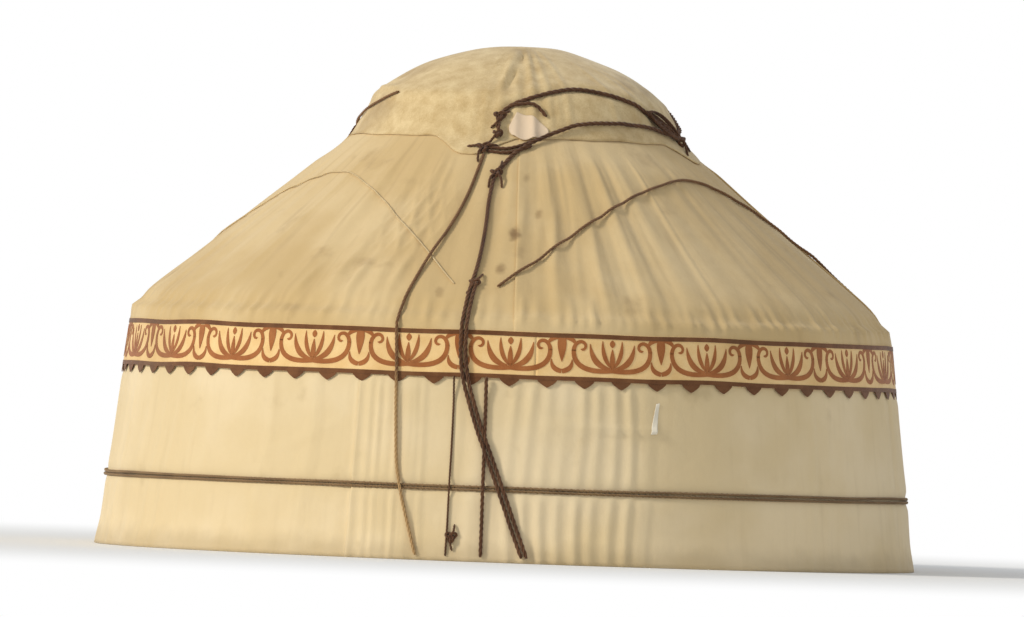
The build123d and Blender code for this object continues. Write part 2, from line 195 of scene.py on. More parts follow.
def around(azimuth, radius, height):
    """Points at an azimuth from the front, positive to the right."""
    return np.stack([radius * np.sin(azimuth), -radius * np.cos(azimuth), height], axis=-1)


def ripple(a, b, seed, waves=7):
    """Smooth uneven variation between about -1 and 1 over two lengths in metres."""
    draw = np.random.RandomState(seed)
    total = np.zeros_like(a)
    for _ in range(waves):
        turn = draw.uniform(0, 2 * math.pi)
        rate = draw.uniform(0.5, 2.2)
        total += np.sin(rate * (a * math.cos(turn) + b * math.sin(turn)) + draw.uniform(0, 6.28))
    return total / math.sqrt(waves) / 1.2


def smooth_step(low, high, value):
    """0 below low, 1 above high, and a soft slope between."""
    t = np.clip((value - low) / (high - low), 0, 1)
    return t * t * (3 - 2 * t)


def hump(value, centre, width):
    """1 at the centre, falling softly to 0 on both sides."""
    return np.exp(-((value - centre) / width) ** 2)


def fold_row(along, centres, widths, heights):
    """Rounded upright folds, each at its own centre, with their widths and heights."""
    total = np.zeros_like(along)
    for centre, width, height in zip(*np.broadcast_arrays(centres, widths, heights)):
        total = np.maximum(total, height * hump(along, centre, width))
    return total


def random_rows(draw, count, *ranges):
    """A row of random values within each range."""
    return [draw.uniform(low, high, count) for low, high in ranges]


def keep_flat(mesh, layer, marks):
    """Keeps each point's place on the flat cloth, or along a rope, as UV."""
    corners = np.empty(len(mesh.loops), dtype=int)
    mesh.loops.foreach_get("vertex_index", corners)
    layer.data.foreach_set("uv", np.asarray(marks)[corners].reshape(-1))


def lay_grid(name, columns, rows, surface):
    """A grid laid on a surface, as a sheet without thickness."""
    bpy.ops.object.select_all(action="DESELECT")
    bpy.ops.mesh.primitive_grid_add(x_subdivisions=columns, y_subdivisions=rows, size=1)
    piece = bpy.context.object
    piece.name = name
    mesh = piece.data
    flat = np.empty(len(mesh.vertices) * 3)
    mesh.vertices.foreach_get("co", flat)
    points, cut = surface(flat[0::3] + 0.5, flat[1::3] + 0.5)
    mesh.vertices.foreach_set("co", points.reshape(-1))
    keep_flat(mesh, mesh.uv_layers[0], cut)
    mesh.update()
    return piece


def thicken(piece, thickness, offset):
    """Gives the active sheet its thickness, behind its surface at -1 and before it at 1."""
    modifier = piece.modifiers.new("thickness", "SOLIDIFY")
    modifier.thickness = thickness
    modifier.offset = offset
    bpy.ops.object.modifier_apply(modifier=modifier.name)


def hang_sheet(name, columns, rows, surface, thickness, material):
    """A sheet of cloth: a grid laid on a surface, thickened and given its material."""
    piece = lay_grid(name, columns, rows, surface)
    thicken(piece, thickness, -1)
    bpy.ops.object.shade_smooth()
    piece.data.materials.append(material)
    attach(piece, "root")
    return piece


def canvas(name, ground, faded, stain, stain_from, dirt_height, streaks, spots=()):
    """Weathered cotton canvas: a fine weave, faded patches, streaks, a dusty hem and dark spots,
    which include painted crease shade.
    """
    cloth, tree, place = new_material(name)

    def soiled(tone, dirt, value, low, high, most=1.0):
        return mixed(tree, rising(tree, value, low, high, most, "SMOOTHSTEP"), tone, dirt)

    def ragged(scale, detail, amount, distance):
        pattern = clouds(tree, place["Object"], scale, detail)
        return add_node(tree, "Math", {0: pattern, 1: amount, 2: distance},
                        operation="MULTIPLY_ADD").outputs["Value"]

    tone = soiled(ground, faded, clouds(tree, place["Object"], 1.1, 6), 0.38, 0.66)
    tone = soiled(tone, stain, clouds(tree, place["Object"], 2.6, 8), stain_from, stain_from + 0.16,
                  0.5)
    down = add_node(tree, "Mapping", {"Vector": place["UV"], "Scale": (5.0, 0.55, 1.0)})
    tone = soiled(tone, stain, clouds(tree, down.outputs["Vector"], 2.0, 5), 0.5, 0.78, streaks)
    height = add_node(tree, "SeparateXYZ", {"Vector": place["Object"]}).outputs["Z"]
    tone = soiled(tone, paint(150, 128, 92), ragged(5.0, 4, 0.16, height), dirt_height + 0.12,
                  dirt_height - 0.06, 0.34)
    drawn_up = (1.0, 0.3, 0.75)
    squeezed = add_node(tree, "VectorMath", {0: place["Object"], 1: drawn_up}, operation="MULTIPLY")
    # Dark spots; on the roof one of them is painted shade of a crease.
    for spot, size, strength in spots:
        centre = [a * b for a, b in zip(spot, drawn_up)]
        away = add_node(tree, "VectorMath", {0: squeezed.outputs["Vector"], 1: centre},
                        operation="DISTANCE").outputs["Value"]
        tone = soiled(tone, paint(128, 98, 62), ragged(11.0, 5, size * 1.6, away), size * 1.9,
                      size * 0.9, strength)
    threads = [add_node(tree, "TexWave", {"Vector": place["UV"], "Scale": 130.0, "Distortion": 1.5},
                        bands_direction=direction).outputs["Fac"] for direction in ("X", "Y")]
    weave = add_node(tree, "Math", dict(enumerate(threads)), operation="MULTIPLY").outputs["Value"]
    creases = raised(tree, clouds(tree, place["Object"], 7.0, 6), 0.55, 0.012,
                     Normal=raised(tree, weave, 0.25, 0.0008))
    set_surface(tree, tone, creases, 0.92, 0.12, 0.15, 0.6)
    return cloth


def wall_folds(azimuth, height):
    """Height of the wall canvas's folds over the lattice."""
    along = azimuth * wall_radius(wall_middle)
    shallow = random_rows(np.random.RandomState(11), shallow_count, (-9.4, 9.4), (0.03, 0.09),
                          (0.003, 0.010))
    folds = fold_row(along + 0.05 * ripple(along, height * 2, 5), *shallow)
    folds = np.maximum(folds, fold_row(along + 0.02 * height, *left_pleats))
    swing = 0.03 * np.sin(height * 3.1 + along * 2.0)
    slack = 0.62 + 0.38 * ripple(along * 6, height * 2.2, 33)
    folds = np.maximum(folds, slack * fold_row(along + swing, *right_pleats))
    folds = folds + 0.004 * (1 + ripple(along * 1.6, height * 3, 8))
    crease = 0.017 * hump(height - 0.012 * np.sin(along * 5), crease_height, 0.024)
    folds += crease * smooth_step(0.20, 0.35, along) * smooth_step(1.22, 1.10, along)
    slant = 0.66 + 0.33 * np.clip((along + 2.14) / 0.91, 0, 1) ** 1.5
    ends = smooth_step(-2.25, -1.95, along) * smooth_step(-1.15, -1.35, along)
    folds += 0.007 * hump(height, slant, 0.022) * ends
    belt = hump(height, belt_middle, 0.045)
    swell = hump(height, belt_middle, 0.16) - belt
    folds = folds * (1 - belt) + 0.008 * swell * (1 + 0.5 * ripple(along, height, 4))
    hem = smooth_step(hem_height, 0.0, height)
    folds += hem * (0.012 + 0.010 * ripple(along * 5, height, 21))
    return np.maximum(folds, 0) * smooth_step(band_low + 0.02, band_low - 0.10, height)


lap_clearance = 0.0015
lap_rise = cover_thickness - 0.0005
door_edge_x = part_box("door_jamb_right")[1][0] + 0.002


def door_side(height):
    """Azimuth of a canvas's edge beside the door post, which stands upright seen from the front."""
    return math.pi - np.arcsin(door_edge_x / wall_radius(height))


# Upright edges that lie outside the next canvas, in pole pitches, and the way their canvas runs
outer_edges = {"wall_canvas_left": [(-13.5, 1)], "wall_canvas_front": [(-2.93, 1), (11.6, -1)],
               "wall_canvas_back_left": [], "wall_canvas_right": []}


def wall_lap(azimuth, height, edges):
    """How far canvas stands off behind its outer edges, where it lies on the next canvas."""
    step = lap_clearance + lap_rise * smooth_step(band_low + 0.03, band_low - 0.1, height)
    lap = np.zeros_like(azimuth)
    for edge, way in edges:
        behind = way * (azimuth - edge * pitch)
        lap = lap + step * smooth_step(0.19, 0.12, behind) * (behind > -0.001)
    return lap


def wall_sheet(name, first, last):
    """One wall canvas between two azimuths in pole pitches, or the door where None is given."""

    def edges(height):
        return (first * pitch if first is not None else -door_side(height),
                last * pitch if last is not None else door_side(height))

    def surface(across, up):
        height = wall_cover_top * up
        start, end = edges(height)
        azimuth = start + (end - start) * across
        lap = wall_lap(azimuth, height, outer_edges[name])
        radius = wall_radius(height) + wall_folds(azimuth, height) + lap
        cut = np.stack([azimuth * wall_foot_radius, height], axis=-1)
        return around(azimuth, radius, height), cut

    start, end = edges(0.0)
    width = float(end - start) * wall_foot_radius
    piece = hang_sheet(name, int(width / wall_grid[0]), int(wall_cover_top / wall_grid[1]), surface,
                       cover_thickness, wall_canvas)
    return piece


wall_canvas = canvas("wall_canvas", paint(225, 202, 157), paint(234, 213, 173),
                     paint(190, 166, 122), 0.62, 0.16, 0.16)
for side, first, last in (("left", -13.5, -2.4), ("front", -2.93, 11.6),
                          ("back_left", None, -13.4), ("right", 11.4, None)):
    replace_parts(wall_sheet("wall_canvas_" + side, first, last), "wall_cover_" + side)


# Roof covers: four tapered sheets of felt and canvas laid up the poles to the crown ring. They sag
# a little between the poles, and their skirts fall over the top of the wall.

roof_points = [(2.8475, 1.40), (2.8293, 1.55), (2.8208, 1.62), (2.8147, 1.67), (2.7847, 1.71),
               (2.7248, 1.79), (2.620, 1.93), (2.250, 2.235), (1.690, 2.69), (1.240, 3.075),
               (1.047, 3.240)]
eave_bend = 1.67
roof_grid = (0.021, 0.036)

# Strong folds right of the front seam: distances along, width, depths. Creases that slant up to
# the left main rope: (distance along, height, depth)
strong_folds = ([0.05, 0.22, 0.36, 0.55, 0.72, 0.95], 0.038,
                [0.012, 0.009, 0.015, 0.010, 0.013, 0.008])
slanting_creases = [(-1.20, 2.02, 0.030), (-1.37, 2.06, 0.022), (-1.62, 1.98, 0.020),
                    (-0.86, 2.12, 0.018)]
pucker_count, bead_count = 130, 190


def steps_along(points):
    """Distance of each point from the first, along a line."""
    return np.concatenate([[0], np.cumsum(np.linalg.norm(np.diff(points, axis=0), axis=1))])


roof_length = float(steps_along(roof_points)[-1])


def smooth_line(points, distance):
    """Radius, height and outward direction on a soft line through points, by distance along it."""
    line = np.array(points)
    line = np.vstack([2 * line[0] - line[1], line, 2 * line[-1] - line[-2]])
    reached = steps_along(line[1:-1])
    distance = np.clip(distance, 0, reached[-1])
    run = np.clip(np.searchsorted(reached, distance, side="right") - 1, 0, len(reached) - 2)
    t = ((distance - reached[run]) / np.diff(reached)[run])[..., None]
    a, b, c, d = line[run], line[run + 1], line[run + 2], line[run + 3]
    bend = [b, (c - a) / 2, a - 2.5 * b + 2 * c - d / 2, (3 * b - a - 3 * c + d) / 2]
    place = bend[0] + bend[1] * t + bend[2] * t ** 2 + bend[3] * t ** 3
    ahead = bend[1] + 2 * bend[2] * t + 3 * bend[3] * t ** 2
    ahead = ahead / np.linalg.norm(ahead, axis=-1, keepdims=True)
    return place[..., 0], place[..., 1], ahead[..., 1], -ahead[..., 0]


def roof_sag(azimuth, height):
    """How far the roof canvas lies inside the line of the poles."""
    gap = azimuth / pitch
    between_poles = np.sin(math.pi * gap) ** 2
    draw = np.random.RandomState(3)
    slack = draw.uniform(0.45, 1.0, 60)[(np.floor(gap).astype(int) + 30) % 60]
    along = azimuth * 2.4
    front_right = smooth_step(-0.05, 0.25, along) * smooth_step(1.5, 0.9, along)
    slack = slack + 0.8 * front_right
    fade = smooth_step(1.7, 2.0, height) * smooth_step(3.2, 2.6, height)
    return 0.015 * between_poles * slack * fade


def roof_folds(azimuth, height, radius):
    """Small radial folds and puckers of the roof canvas."""
    along = azimuth * radius
    drawn = azimuth * 2.6
    draw = np.random.RandomState(17)
    shallow = random_rows(draw, 70, (-8.2, 8.2), (0.02, 0.06), (0.003, 0.009))
    folds = fold_row(drawn + 0.04 * ripple(drawn, height * 2, 2), *shallow)
    strong = fold_row(drawn + 0.05 * np.sin(height * 4), *strong_folds)
    uneven = 0.65 + 0.35 * ripple(drawn * 5, height * 4, 19)
    folds = np.maximum(folds, strong * uneven * smooth_step(2.75, 2.4, height))
    shift, widths, depths = random_rows(draw, pucker_count, (-0.04, 0.04), (0.024, 0.036),
                                        (0.006, 0.024))
    puckers = fold_row(azimuth * 2.7, np.arange(-8.4, 8.4, 0.13) + shift, widths, depths)
    folds = np.maximum(folds, puckers * smooth_step(1.96, 1.78, height))
    shift, widths, depths = random_rows(draw, bead_count, (-0.02, 0.02), (0.026, 0.036),
                                        (0.004, 0.018))
    beads = fold_row(azimuth * 2.8, np.linspace(-8.8, 8.8, bead_count) + shift, widths, depths)
    folds = folds + beads * hump(height, 1.730, 0.036)
    for centre, level, depth in slanting_creases:
        slant = drawn - centre - 0.22 * (height - level)
        folds += depth * hump(slant, 0, 0.040) * hump(height, level, 0.14)
    climbing, falling = drawn * 1.5 + height, drawn * 1.5 - height
    crossed = np.maximum(np.cos(climbing * 26 + ripple(drawn * 4, height * 5, 45)),
                         np.cos(falling * 26 + ripple(drawn * 4, height * 5, 46)))
    region = hump(drawn, -0.98, 0.30) * hump(height, 2.42, 0.28)
    folds += 0.014 * region * smooth_step(0.2, 1.0, crossed)
    folds = folds + 0.005 * (1 + ripple(along * 2, height * 3, 14))
    return folds * smooth_step(1.675, 1.745, height) * smooth_step(3.0, 2.82, height)


def roof_relief(azimuth, height, radius):
    """How far the roof canvas stands off its plain line: bulge over the band, sag and folds."""
    bulge = 0.018 * hump(height, 1.725, 0.05)
    bulge = bulge * (1 + 0.5 * ripple(azimuth * 9, height, 41))
    return bulge - roof_sag(azimuth, height) + roof_folds(azimuth, height, radius)


roof_lap_width = 0.45 * pitch


def roof_lap(azimuth, height, start):
    """How far a canvas's lapped first edge stands off the canvas below it."""
    beyond = azimuth - start
    fade = smooth_step(1.68, 1.76, height) * smooth_step(2.98, 2.86, height)
    step = lap_clearance + lap_rise * fade
    return step * smooth_step(roof_lap_width + 0.04, roof_lap_width, beyond) * (beyond > -0.001)


def roof_sheet(name, first, last):
    """One roof canvas between two azimuths in pole pitches, its first edge lapped outside."""
    start, end = first * pitch - roof_lap_width, last * pitch

    def surface(across, up):
        azimuth = start + (end - start) * across
        radius, height, out_r, out_z = smooth_line(roof_points, up * roof_length)
        out = roof_relief(azimuth, height, radius) + roof_lap(azimuth, height, start)
        cut = np.stack([azimuth * 2.2, up * roof_length], axis=-1)
        return around(azimuth, radius + out_r * out, height + out_z * out), cut

    width = (end - start) * roof_points[0][0]
    piece = hang_sheet(name, int(width / roof_grid[0]), int(roof_length / roof_grid[1]), surface,
                       cover_thickness, roof_canvas)
    return piece


# Dark spots on the roof as (x, height, size, strength); the one at x -0.53, height 1.93 is painted
# shade of a crease.
roof_spots_and_crease_shade = []
for x, z, size, strength in ((0.0, 2.37, 0.050, 0.85), (0.04, 2.25, 0.060, 0.30),
                             (0.17, 2.53, 0.038, 0.5), (0.07, 2.79, 0.035, 0.4),
                             (-0.1, 2.11, 0.045, 0.6), (-0.53, 1.93, 0.040, 0.35)):
    radius = float(np.interp(z, [height for _, height in roof_points],
                             [reach for reach, _ in roof_points]))
    roof_spots_and_crease_shade.append(((x, -math.sqrt(radius ** 2 - x ** 2), z), size, strength))
roof_canvas = canvas("roof_canvas", paint(206, 177, 125), paint(219, 193, 145),
                     paint(164, 136, 94), 0.60, 0.0, 0.26, roof_spots_and_crease_shade)
quarters = (("back_left", -23.5, -11.5), ("front_left", -11.5, 0.5),
            ("front_right", 0.5, 12.5), ("back_right", 12.5, 24.5))
for side, first, last in quarters:
    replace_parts(roof_sheet("roof_canvas_" + side, first, last), "roof_cover_" + side)


# Eave band: a strip of pale felt sewn with reddish-brown felt scrolls, pulled round the hem of the
# roof covers. A dark woven edge with hanging teeth finishes it below, a thin one above.

def felt(name, deep, pale, soiled, fibre_scale):
    """Pressed wool: clouded colour, matted fibres in the relief and a soft sheen."""
    wool, tree, place = new_material(name)
    fibres = clouds(tree, place["Object"], fibre_scale, 8, 1.2)
    flecks = mixed(tree, 0.4, clouds(tree, place["Object"], 9, 6), fibres, "FLOAT")
    worn = rising(tree, clouds(tree, place["Object"], 1.7, 7), 0.56, 0.76, 0.6)
    tone = mixed(tree, worn, two_tones(tree, flecks, 0.36, 0.64, deep, pale), soiled)
    set_surface(tree, tone, raised(tree, fibres, 0.5, 0.003), 0.95, 0.08, 0.25)
    return wool


band_felt = felt("band_felt", paint(232, 192, 130), paint(244, 210, 152), paint(202, 162, 106), 120)
scroll_felt = felt("scroll_felt", paint(154, 92, 50), paint(178, 114, 66), paint(136, 92, 58), 120)
edge_weave = felt("edge_weave", paint(98, 62, 38), paint(128, 86, 54), paint(110, 82, 56), 180)
band_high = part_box("eave_band_front_left")[1][2]
band_middle = (band_low + band_high) / 2
band_thickness = 0.004
skirt_clearance = 0.0135
band_wave = 0.004
band_grid = 0.02


def band_radius(azimuth, height):
    """Outer face of the band, drawn tight but not quite even."""
    slack = 0.0006 * (1 + ripple(azimuth * 14, height * 6, 52))
    return wall_radius(height) + skirt_clearance + band_thickness + slack


def band_sheet(name, first, last):
    """One quarter of the band between two azimuths in pole pitches."""
    start, end = first * pitch, last * pitch

    def surface(across, up):
        azimuth = start + (end - start) * across
        height = band_low + (band_high - band_low) * up
        height = height + band_wave * ripple(azimuth * 10, 0 * height, 61)
        cut = np.stack([azimuth * 2.8, height], axis=-1)
        return around(azimuth, band_radius(azimuth, height), height), cut

    width = (end - start) * wall_radius(band_low)
    piece = hang_sheet(name, int(width / band_grid), 16, surface, band_thickness, band_felt)
    return piece


for side, first, last in quarters:
    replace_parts(band_sheet("felt_band_" + side, first, last), "eave_band_" + side)


def scroll(start, heading, length, curl, widths, steps=16):
    """Both edges of a felt ribbon that curls ever tighter, from its start to a rounded tip."""
    x, y = start
    angle = math.radians(heading)
    left, right = [], []
    for step in range(steps + 1):
        share = step / steps
        half = (widths[0] + (widths[1] - widths[0]) * share) / 2
        half *= min(1, math.sqrt(max(0.0, 1 - share) * 8) + 0.15)
        left.append((x - half * math.sin(angle), y + half * math.cos(angle)))
        right.append((x + half * math.sin(angle), y - half * math.cos(angle)))
        angle += math.radians(curl) * (0.25 + 1.5 * share) / steps
        x += length / steps * math.cos(angle)
        y += length / steps * math.sin(angle)
    return left, right


def pick(*pieces):
    """Selects these pieces alone, with the first of them active."""
    bpy.ops.object.select_all(action="DESELECT")
    for piece in pieces:
        piece.select_set(True)
    bpy.context.view_layer.objects.active = pieces[0]


def new_piece(name, points, faces):
    """A new piece from its points and faces, picked."""
    mesh = bpy.data.meshes.new(name)
    mesh.from_pydata([tuple(point) for point in points], [], faces)
    piece = bpy.data.objects.new(name, mesh)
    bpy.context.collection.objects.link(piece)
    pick(piece)
    return piece


def clean_up(merge=0.0, outward=True):
    """Merges the active piece's points that lie together, and turns its faces outward."""
    bpy.ops.object.mode_set(mode="EDIT")
    bpy.ops.mesh.select_all(action="SELECT")
    if merge:
        bpy.ops.mesh.remove_doubles(threshold=merge)
    if outward:
        bpy.ops.mesh.normals_make_consistent(inside=False)
    bpy.ops.object.mode_set(mode="OBJECT")


def applique(name, ribbons, lift, thickness):
    """Felt ribbons laid on the band at the front, mirrored, each with a puffed thickness."""
    points, faces = [], []
    for left, right in ribbons:
        base = len(points)
        for a, b in zip(left, right):
            points += [a, ((a[0] + b[0]) / 2, (a[1] + b[1]) / 2), b]
        for i in range(len(left) - 1):
            for j in (0, 1):
                k = base + 3 * i + j
                faces.append((k, k + 1, k + 4, k + 3))
    flat = np.array(points)
    height = band_middle + flat[:, 1]
    azimuth = flat[:, 0] / wall_radius(band_middle)
    piece = new_piece(name, around(azimuth, band_radius(azimuth, height) + lift, height), faces)
    clean_up(merge=0.0004)
    if sum(face.normal.y for face in piece.data.polygons) > 0:
        piece.data.flip_normals()
    thicken(piece, thickness, 1)
    return piece


def join_pieces(name, pieces):
    """Joins pieces into the first of them, under a name of its own."""
    if len(pieces) > 1:
        pick(*pieces)
        bpy.ops.object.join()
    pieces[0].name = name
    return pieces[0]


def copies_round(piece, count, first=0.0):
    """Copies a piece round the tent at equal spacing and joins the copies into one piece."""
    name = piece.name
    made = []
    for number in range(count):
        pick(piece)
        bpy.ops.object.duplicate()
        copy = bpy.context.object
        copy.rotation_euler = (0, 0, 2 * math.pi * (number + first) / count)
        bpy.ops.object.transform_apply(rotation=True)
        made.append(copy)
    bpy.data.objects.remove(piece)
    return join_pieces(name, made)


def trim(piece, material, smooth_angle=40):
    """Finishes a small fixed piece: its material and the body that it rides on."""
    if smooth_angle:
        pick(piece)
        bpy.ops.object.shade_smooth_by_angle(angle=math.radians(smooth_angle))
    piece.data.materials.clear()
    piece.data.materials.append(material)
    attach(piece, "root")
    return piece


def both_sides(make, *arguments):
    """A ribbon and its mirror image."""
    left, right = make(*arguments)
    return [(left, right), ([(-x, y) for x, y in right], [(-x, y) for x, y in left])]


def petal(spots, widths, steps=12):
    """Both edges of a felt strip bowed through three points, with its widths at them."""
    (x0, y0), (x1, y1), (x2, y2) = spots
    left, right = [], []
    for step in range(steps + 1):
        t = step / steps
        x = (1 - t) ** 2 * x0 + 2 * t * (1 - t) * x1 + t * t * x2
        y = (1 - t) ** 2 * y0 + 2 * t * (1 - t) * y1 + t * t * y2
        ahead = Vector((2 * (1 - t) * (x1 - x0) + 2 * t * (x2 - x1),
                        2 * (1 - t) * (y1 - y0) + 2 * t * (y2 - y1))).normalized()
        half = (widths[0] * (1 - t) * (1 - 2 * t) + widths[1] * 4 * t * (1 - t)
                + widths[2] * t * (2 * t - 1)) / 2
        left.append((x - half * ahead.y, y + half * ahead.x))
        right.append((x + half * ahead.y, y - half * ahead.x))
    return left, right


lotus = both_sides(petal, [(0.0, -0.092), (0.29, -0.122), (0.285, 0.052)], (0.030, 0.036, 0.030))
lotus += both_sides(scroll, (0.285, 0.045), 92, 0.20, 300, (0.031, 0.018))
lotus += both_sides(petal, [(0.018, -0.078), (0.150, -0.062), (0.165, 0.098)], (0.012, 0.042, 0.004))
lotus += both_sides(petal, [(0.008, -0.072), (0.076, -0.002), (0.072, 0.122)], (0.010, 0.031, 0.004))
lotus += [petal([(0, -0.080), (0, -0.025), (0, 0.064)], (0.018, 0.038, 0.004)),
          petal([(0, 0.074), (0, 0.101), (0, 0.128)], (0.004, 0.040, 0.004))]
between = [petal([(0, 0.138), (0, 0.09), (0, -0.035)], (0.046, 0.062, 0.004))]
between += both_sides(petal, [(0.002, -0.104), (0.080, -0.092), (0.074, -0.018)],
                      (0.030, 0.032, 0.004))
between += both_sides(petal, [(0.024, 0.138), (0.090, 0.136), (0.104, 0.080)],
                      (0.024, 0.030, 0.004))
repeat_count = pole_count // 2
ribbon_lift, ribbon_thickness = 0.0004, 0.0025
for name, ribbons, first in (("band_lotus", lotus, 0.0), ("band_between", between, 0.5)):
    spray = applique(name, ribbons, ribbon_lift, ribbon_thickness)
    trim(copies_round(spray, repeat_count, first), scroll_felt)


def edging(name, low, high, proud):
    """A woven edging sewn round the band between two heights."""

    def surface(across, up):
        azimuth = 2 * math.pi * (across - 0.5)
        height = low + (high - low) * up + band_wave * ripple(azimuth * 10, 0 * azimuth, 61)
        cut = np.stack([across, up], axis=-1)
        return around(azimuth, band_radius(azimuth, height) + proud, height), cut

    piece = lay_grid(name, 9 * pole_count, 2, surface)
    clean_up(merge=0.0005, outward=False)
    thicken(piece, proud, -1)
    return trim(piece, edge_weave)


edging("band_lower_edge", band_low - 0.002, band_low + 0.028, 0.003)
edging("band_upper_edge", band_high - 0.034, band_high - 0.002, 0.004)

tooth_count = 66
half_tooth = math.pi / tooth_count * wall_radius(band_low) * 0.55
tooth_drop = 0.060
tooth_top = band_low - band_middle + 0.003
tooth_rows = [(0.0, 1.0), (0.3, 0.86), (0.6, 0.58), (0.85, 0.27), (1.0, 0.06)]
tooth = [[(way * half_tooth * wide, tooth_top - tooth_drop * down) for down, wide in tooth_rows]
         for way in (-1, 1)]
teeth = copies_round(applique("band_teeth", [tooth], -0.003, 0.004), tooth_count)
trim(teeth, edge_weave)


# Crown cover: a square of thick felt drawn over the ring and slats. Its four corners reach down
# the roof, where ropes hold them.

crown_points = [(0.0, 3.780), (0.20, 3.768), (0.40, 3.727), (0.68, 3.631), (0.90, 3.511),
                (1.05, 3.401), (1.115, 3.292), (1.225, 3.115), (1.27, 3.066), (1.40, 2.955)]
crown_steps = steps_along(crown_points)
crown_rim = crown_steps[7] + 0.03
corner_turn = -2 * pitch
crown_thickness = 0.007
crown_grid = 120

# Gathers above the knots, and the seed and number of the small puckers all round
crown_gathers = ([-0.22, -0.12, -0.02, 0.09, 0.20, 0.33], 0.028,
                 [0.012, 0.020, 0.014, 0.022, 0.014, 0.010])
crown_pucker_seed, crown_pucker_count = 29, 34


def corner_share(azimuth):
    """1 at the middle of a corner of the crown felt, 0 away from the corners."""
    turn = (azimuth - corner_turn + math.pi / 4) % (math.pi / 2) - math.pi / 4
    return smooth_step(0.0, 1.0, 1.06 - np.abs(np.sin(turn)) * 1.3 / 0.36)


# The upper crown rope's way over the felt, as (place in pole pitches, height)
crown_upper = [(-0.9, 3.24), (-0.5, 3.312), (0.54, 3.37), (2.2, 3.43), (3.6, 3.45), (6.75, 3.37),
               (7.9, 3.27), (9.3, 3.165), (10.7, 3.165), (12.5, 3.30), (15, 3.42), (18, 3.42),
               (20.5, 3.30), (22, 3.165), (23.5, 3.30), (26, 3.42), (30, 3.42), (32.5, 3.30),
               (34, 3.165)]


def crown_relief(azimuth, distance):
    """Folds of the crown felt: drawn in under its upper rope, gathered at the front."""
    radius = np.minimum(distance, 1.3)
    height = np.interp(distance, crown_steps, [z for _, z in crown_points])
    place = (azimuth / pitch + 10) % pole_count - 10
    rope_height = np.interp(place, *zip(*crown_upper))
    held = smooth_step(-2.0, -0.6, place) * smooth_step(35.5, 34, place)
    rope_line = hump(height, rope_height, 0.022) * held
    swell = hump(height, rope_height + 0.055, 0.04) * held
    gathers = fold_row(azimuth, *crown_gathers) * smooth_step(0.12, 0.6, distance)
    puckers = fold_row(azimuth, *random_rows(np.random.RandomState(crown_pucker_seed),
                                             crown_pucker_count, (-3.1, 3.1), (0.02, 0.05),
                                             (0.002, 0.008))) * smooth_step(0.4, 1.0, distance)
    soft = 0.006 * (1 + ripple(azimuth * radius * 3, distance * 4, 71))
    soft = soft * smooth_step(0.0, 0.3, distance)
    shoulder = 0.008 * hump(height, 3.385, 0.05) * (1 - held)
    left_side = smooth_step(-1.50, -1.38, azimuth) * smooth_step(-1.02, -1.14, azimuth)
    tuck = 0.016 * hump(height, 3.425, 0.018) - 0.010 * hump(height, 3.388, 0.012)
    beside = (azimuth + 0.01 + 0.22 * (radius - 0.66)) * radius
    pinch = 0.016 * hump(beside, -0.045, 0.030) - 0.022 * hump(beside, 0, 0.018)
    pinch = pinch * smooth_step(0.35, 0.60, distance) * smooth_step(1.16, 1.05, distance)
    folds = pinch + np.maximum(gathers, puckers) * (1 - 0.8 * rope_line) + soft + 0.009 * swell
    return folds - 0.006 * rope_line + shoulder + tuck * left_side


def crown_surface(across, up):
    """The square of felt, each ring of its grid carried out along the dome's line."""
    x, y = 2 * across - 1, 2 * up - 1
    reach = np.maximum(np.abs(x), np.abs(y))
    eighth = math.pi / 4
    across_turn, up_turn = np.stack([x, y]) / np.maximum(reach, 1e-9) * eighth
    turn = np.where(np.abs(x) >= np.abs(y), up_turn * np.sign(x) + np.where(x < 0, math.pi, 0),
                    (math.pi / 2 - across_turn) * np.sign(y))
    azimuth = turn + corner_turn + eighth
    end = crown_rim + (crown_steps[-1] - crown_rim) * corner_share(azimuth)
    end = end + 0.007 * np.sin(7 * azimuth + 1) + 0.005 * np.sin(17 * azimuth)
    distance = reach * end
    azimuth = (azimuth + math.pi) % (2 * math.pi) - math.pi
    radius, height, out_r, out_z = smooth_line(crown_points, distance)
    flat_edge = smooth_step(0.86, 0.99, reach)
    out = 0.004 * flat_edge - crown_relief(azimuth, distance) * (1 - 0.8 * flat_edge)
    cut = np.stack([distance * np.cos(turn), distance * np.sin(turn)], axis=-1)
    return around(azimuth, radius + out_r * out, height + out_z * out), cut


crown_felt = felt("crown_felt", paint(196, 168, 118), paint(226, 202, 154), paint(152, 124, 84), 90)
crown_cover = hang_sheet("crown_felt_cover", crown_grid, crown_grid, crown_surface,
                         crown_thickness, crown_felt)
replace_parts(crown_cover, "crown_cover")


# Belt: two turns of dark hair rope pulled tight round the wall below its middle and made fast to
# the door posts. It presses the canvas against the lattice.

def horsehair(name, deep, pale, bleached=None):
    """Twisted hair: fibres drawn out along the rope, and bleached below the band where asked."""
    hair, tree, place = new_material(name)
    drawn = add_node(tree, "Mapping", {"Vector": place["UV"], "Scale": (30, 6, 1)})
    fibres = clouds(tree, drawn.outputs["Vector"], 3.0, 6.0)
    both = mixed(tree, 0.45, fibres, clouds(tree, place["Object"], 5.0, 5.0), "FLOAT")
    tone = two_tones(tree, both, 0.35, 0.72, deep, pale)
    if bleached:
        height = add_node(tree, "SeparateXYZ", {"Vector": place["Object"]}).outputs["Z"]
        lower = rising(tree, height, band_low + 0.06, band_low - 0.12, 0.8)
        tone = mixed(tree, lower, tone, bleached)
    set_surface(tree, tone, raised(tree, fibres, 0.6, 0.0015), 0.85, 0.2, 0.2)
    return hair


dark_rope = horsehair("dark_rope", paint(74, 46, 28), paint(122, 84, 54))
worn_rope = horsehair("worn_rope", paint(104, 70, 42), paint(158, 118, 78), paint(196, 160, 108))
belt_hair = horsehair("belt_hair", paint(118, 90, 58), paint(172, 140, 98))
pale_rope = horsehair("pale_rope", paint(214, 188, 140), paint(242, 220, 174))


